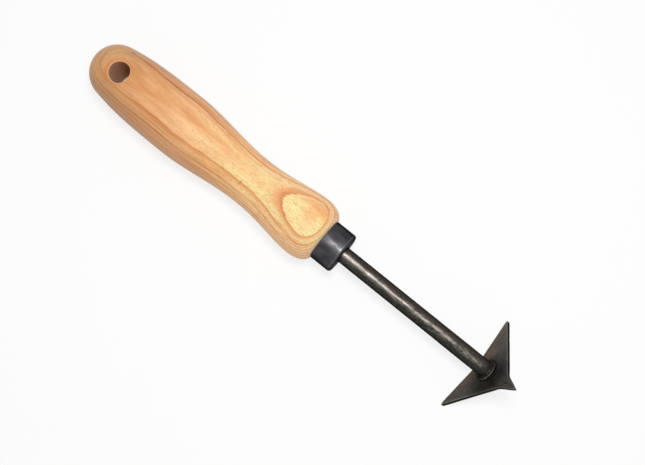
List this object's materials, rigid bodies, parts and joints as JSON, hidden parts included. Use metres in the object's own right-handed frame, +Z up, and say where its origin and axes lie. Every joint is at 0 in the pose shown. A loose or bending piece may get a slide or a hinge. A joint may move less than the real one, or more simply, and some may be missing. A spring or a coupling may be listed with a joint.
{
  "type": "patio knife",
  "caption": "Hand patio knife with a turned ash handle, a steel ferrule, a round forged shaft and a star-shaped blade riveted square to its bent end, for scraping weeds out of paving joints.",
  "frame": {"origin": "bottom centre of the tool's box as it lies on a table, under the middle of its length", "axes": "+X along the tool from the butt of the handle to the blade, +Y across it, +Z up, with the blade's nose pointing up and its two wings resting on the table"},
  "size_m": [0.2458, 0.0496, 0.0381],
  "materials": {
    "ash_wood": "oiled, smooth turned ash",
    "black_steel": "satin black steel",
    "forged_shaft_steel": "dark forging scale, oiled",
    "forged_blade_steel": "dark forging scale, mottled"
  },
  "bodies": {
    "root": {"handle": "ash_wood", "ferrule": "black_steel", "shaft": "forged_shaft_steel", "blade": "forged_blade_steel"}
  },
  "joints": []
}
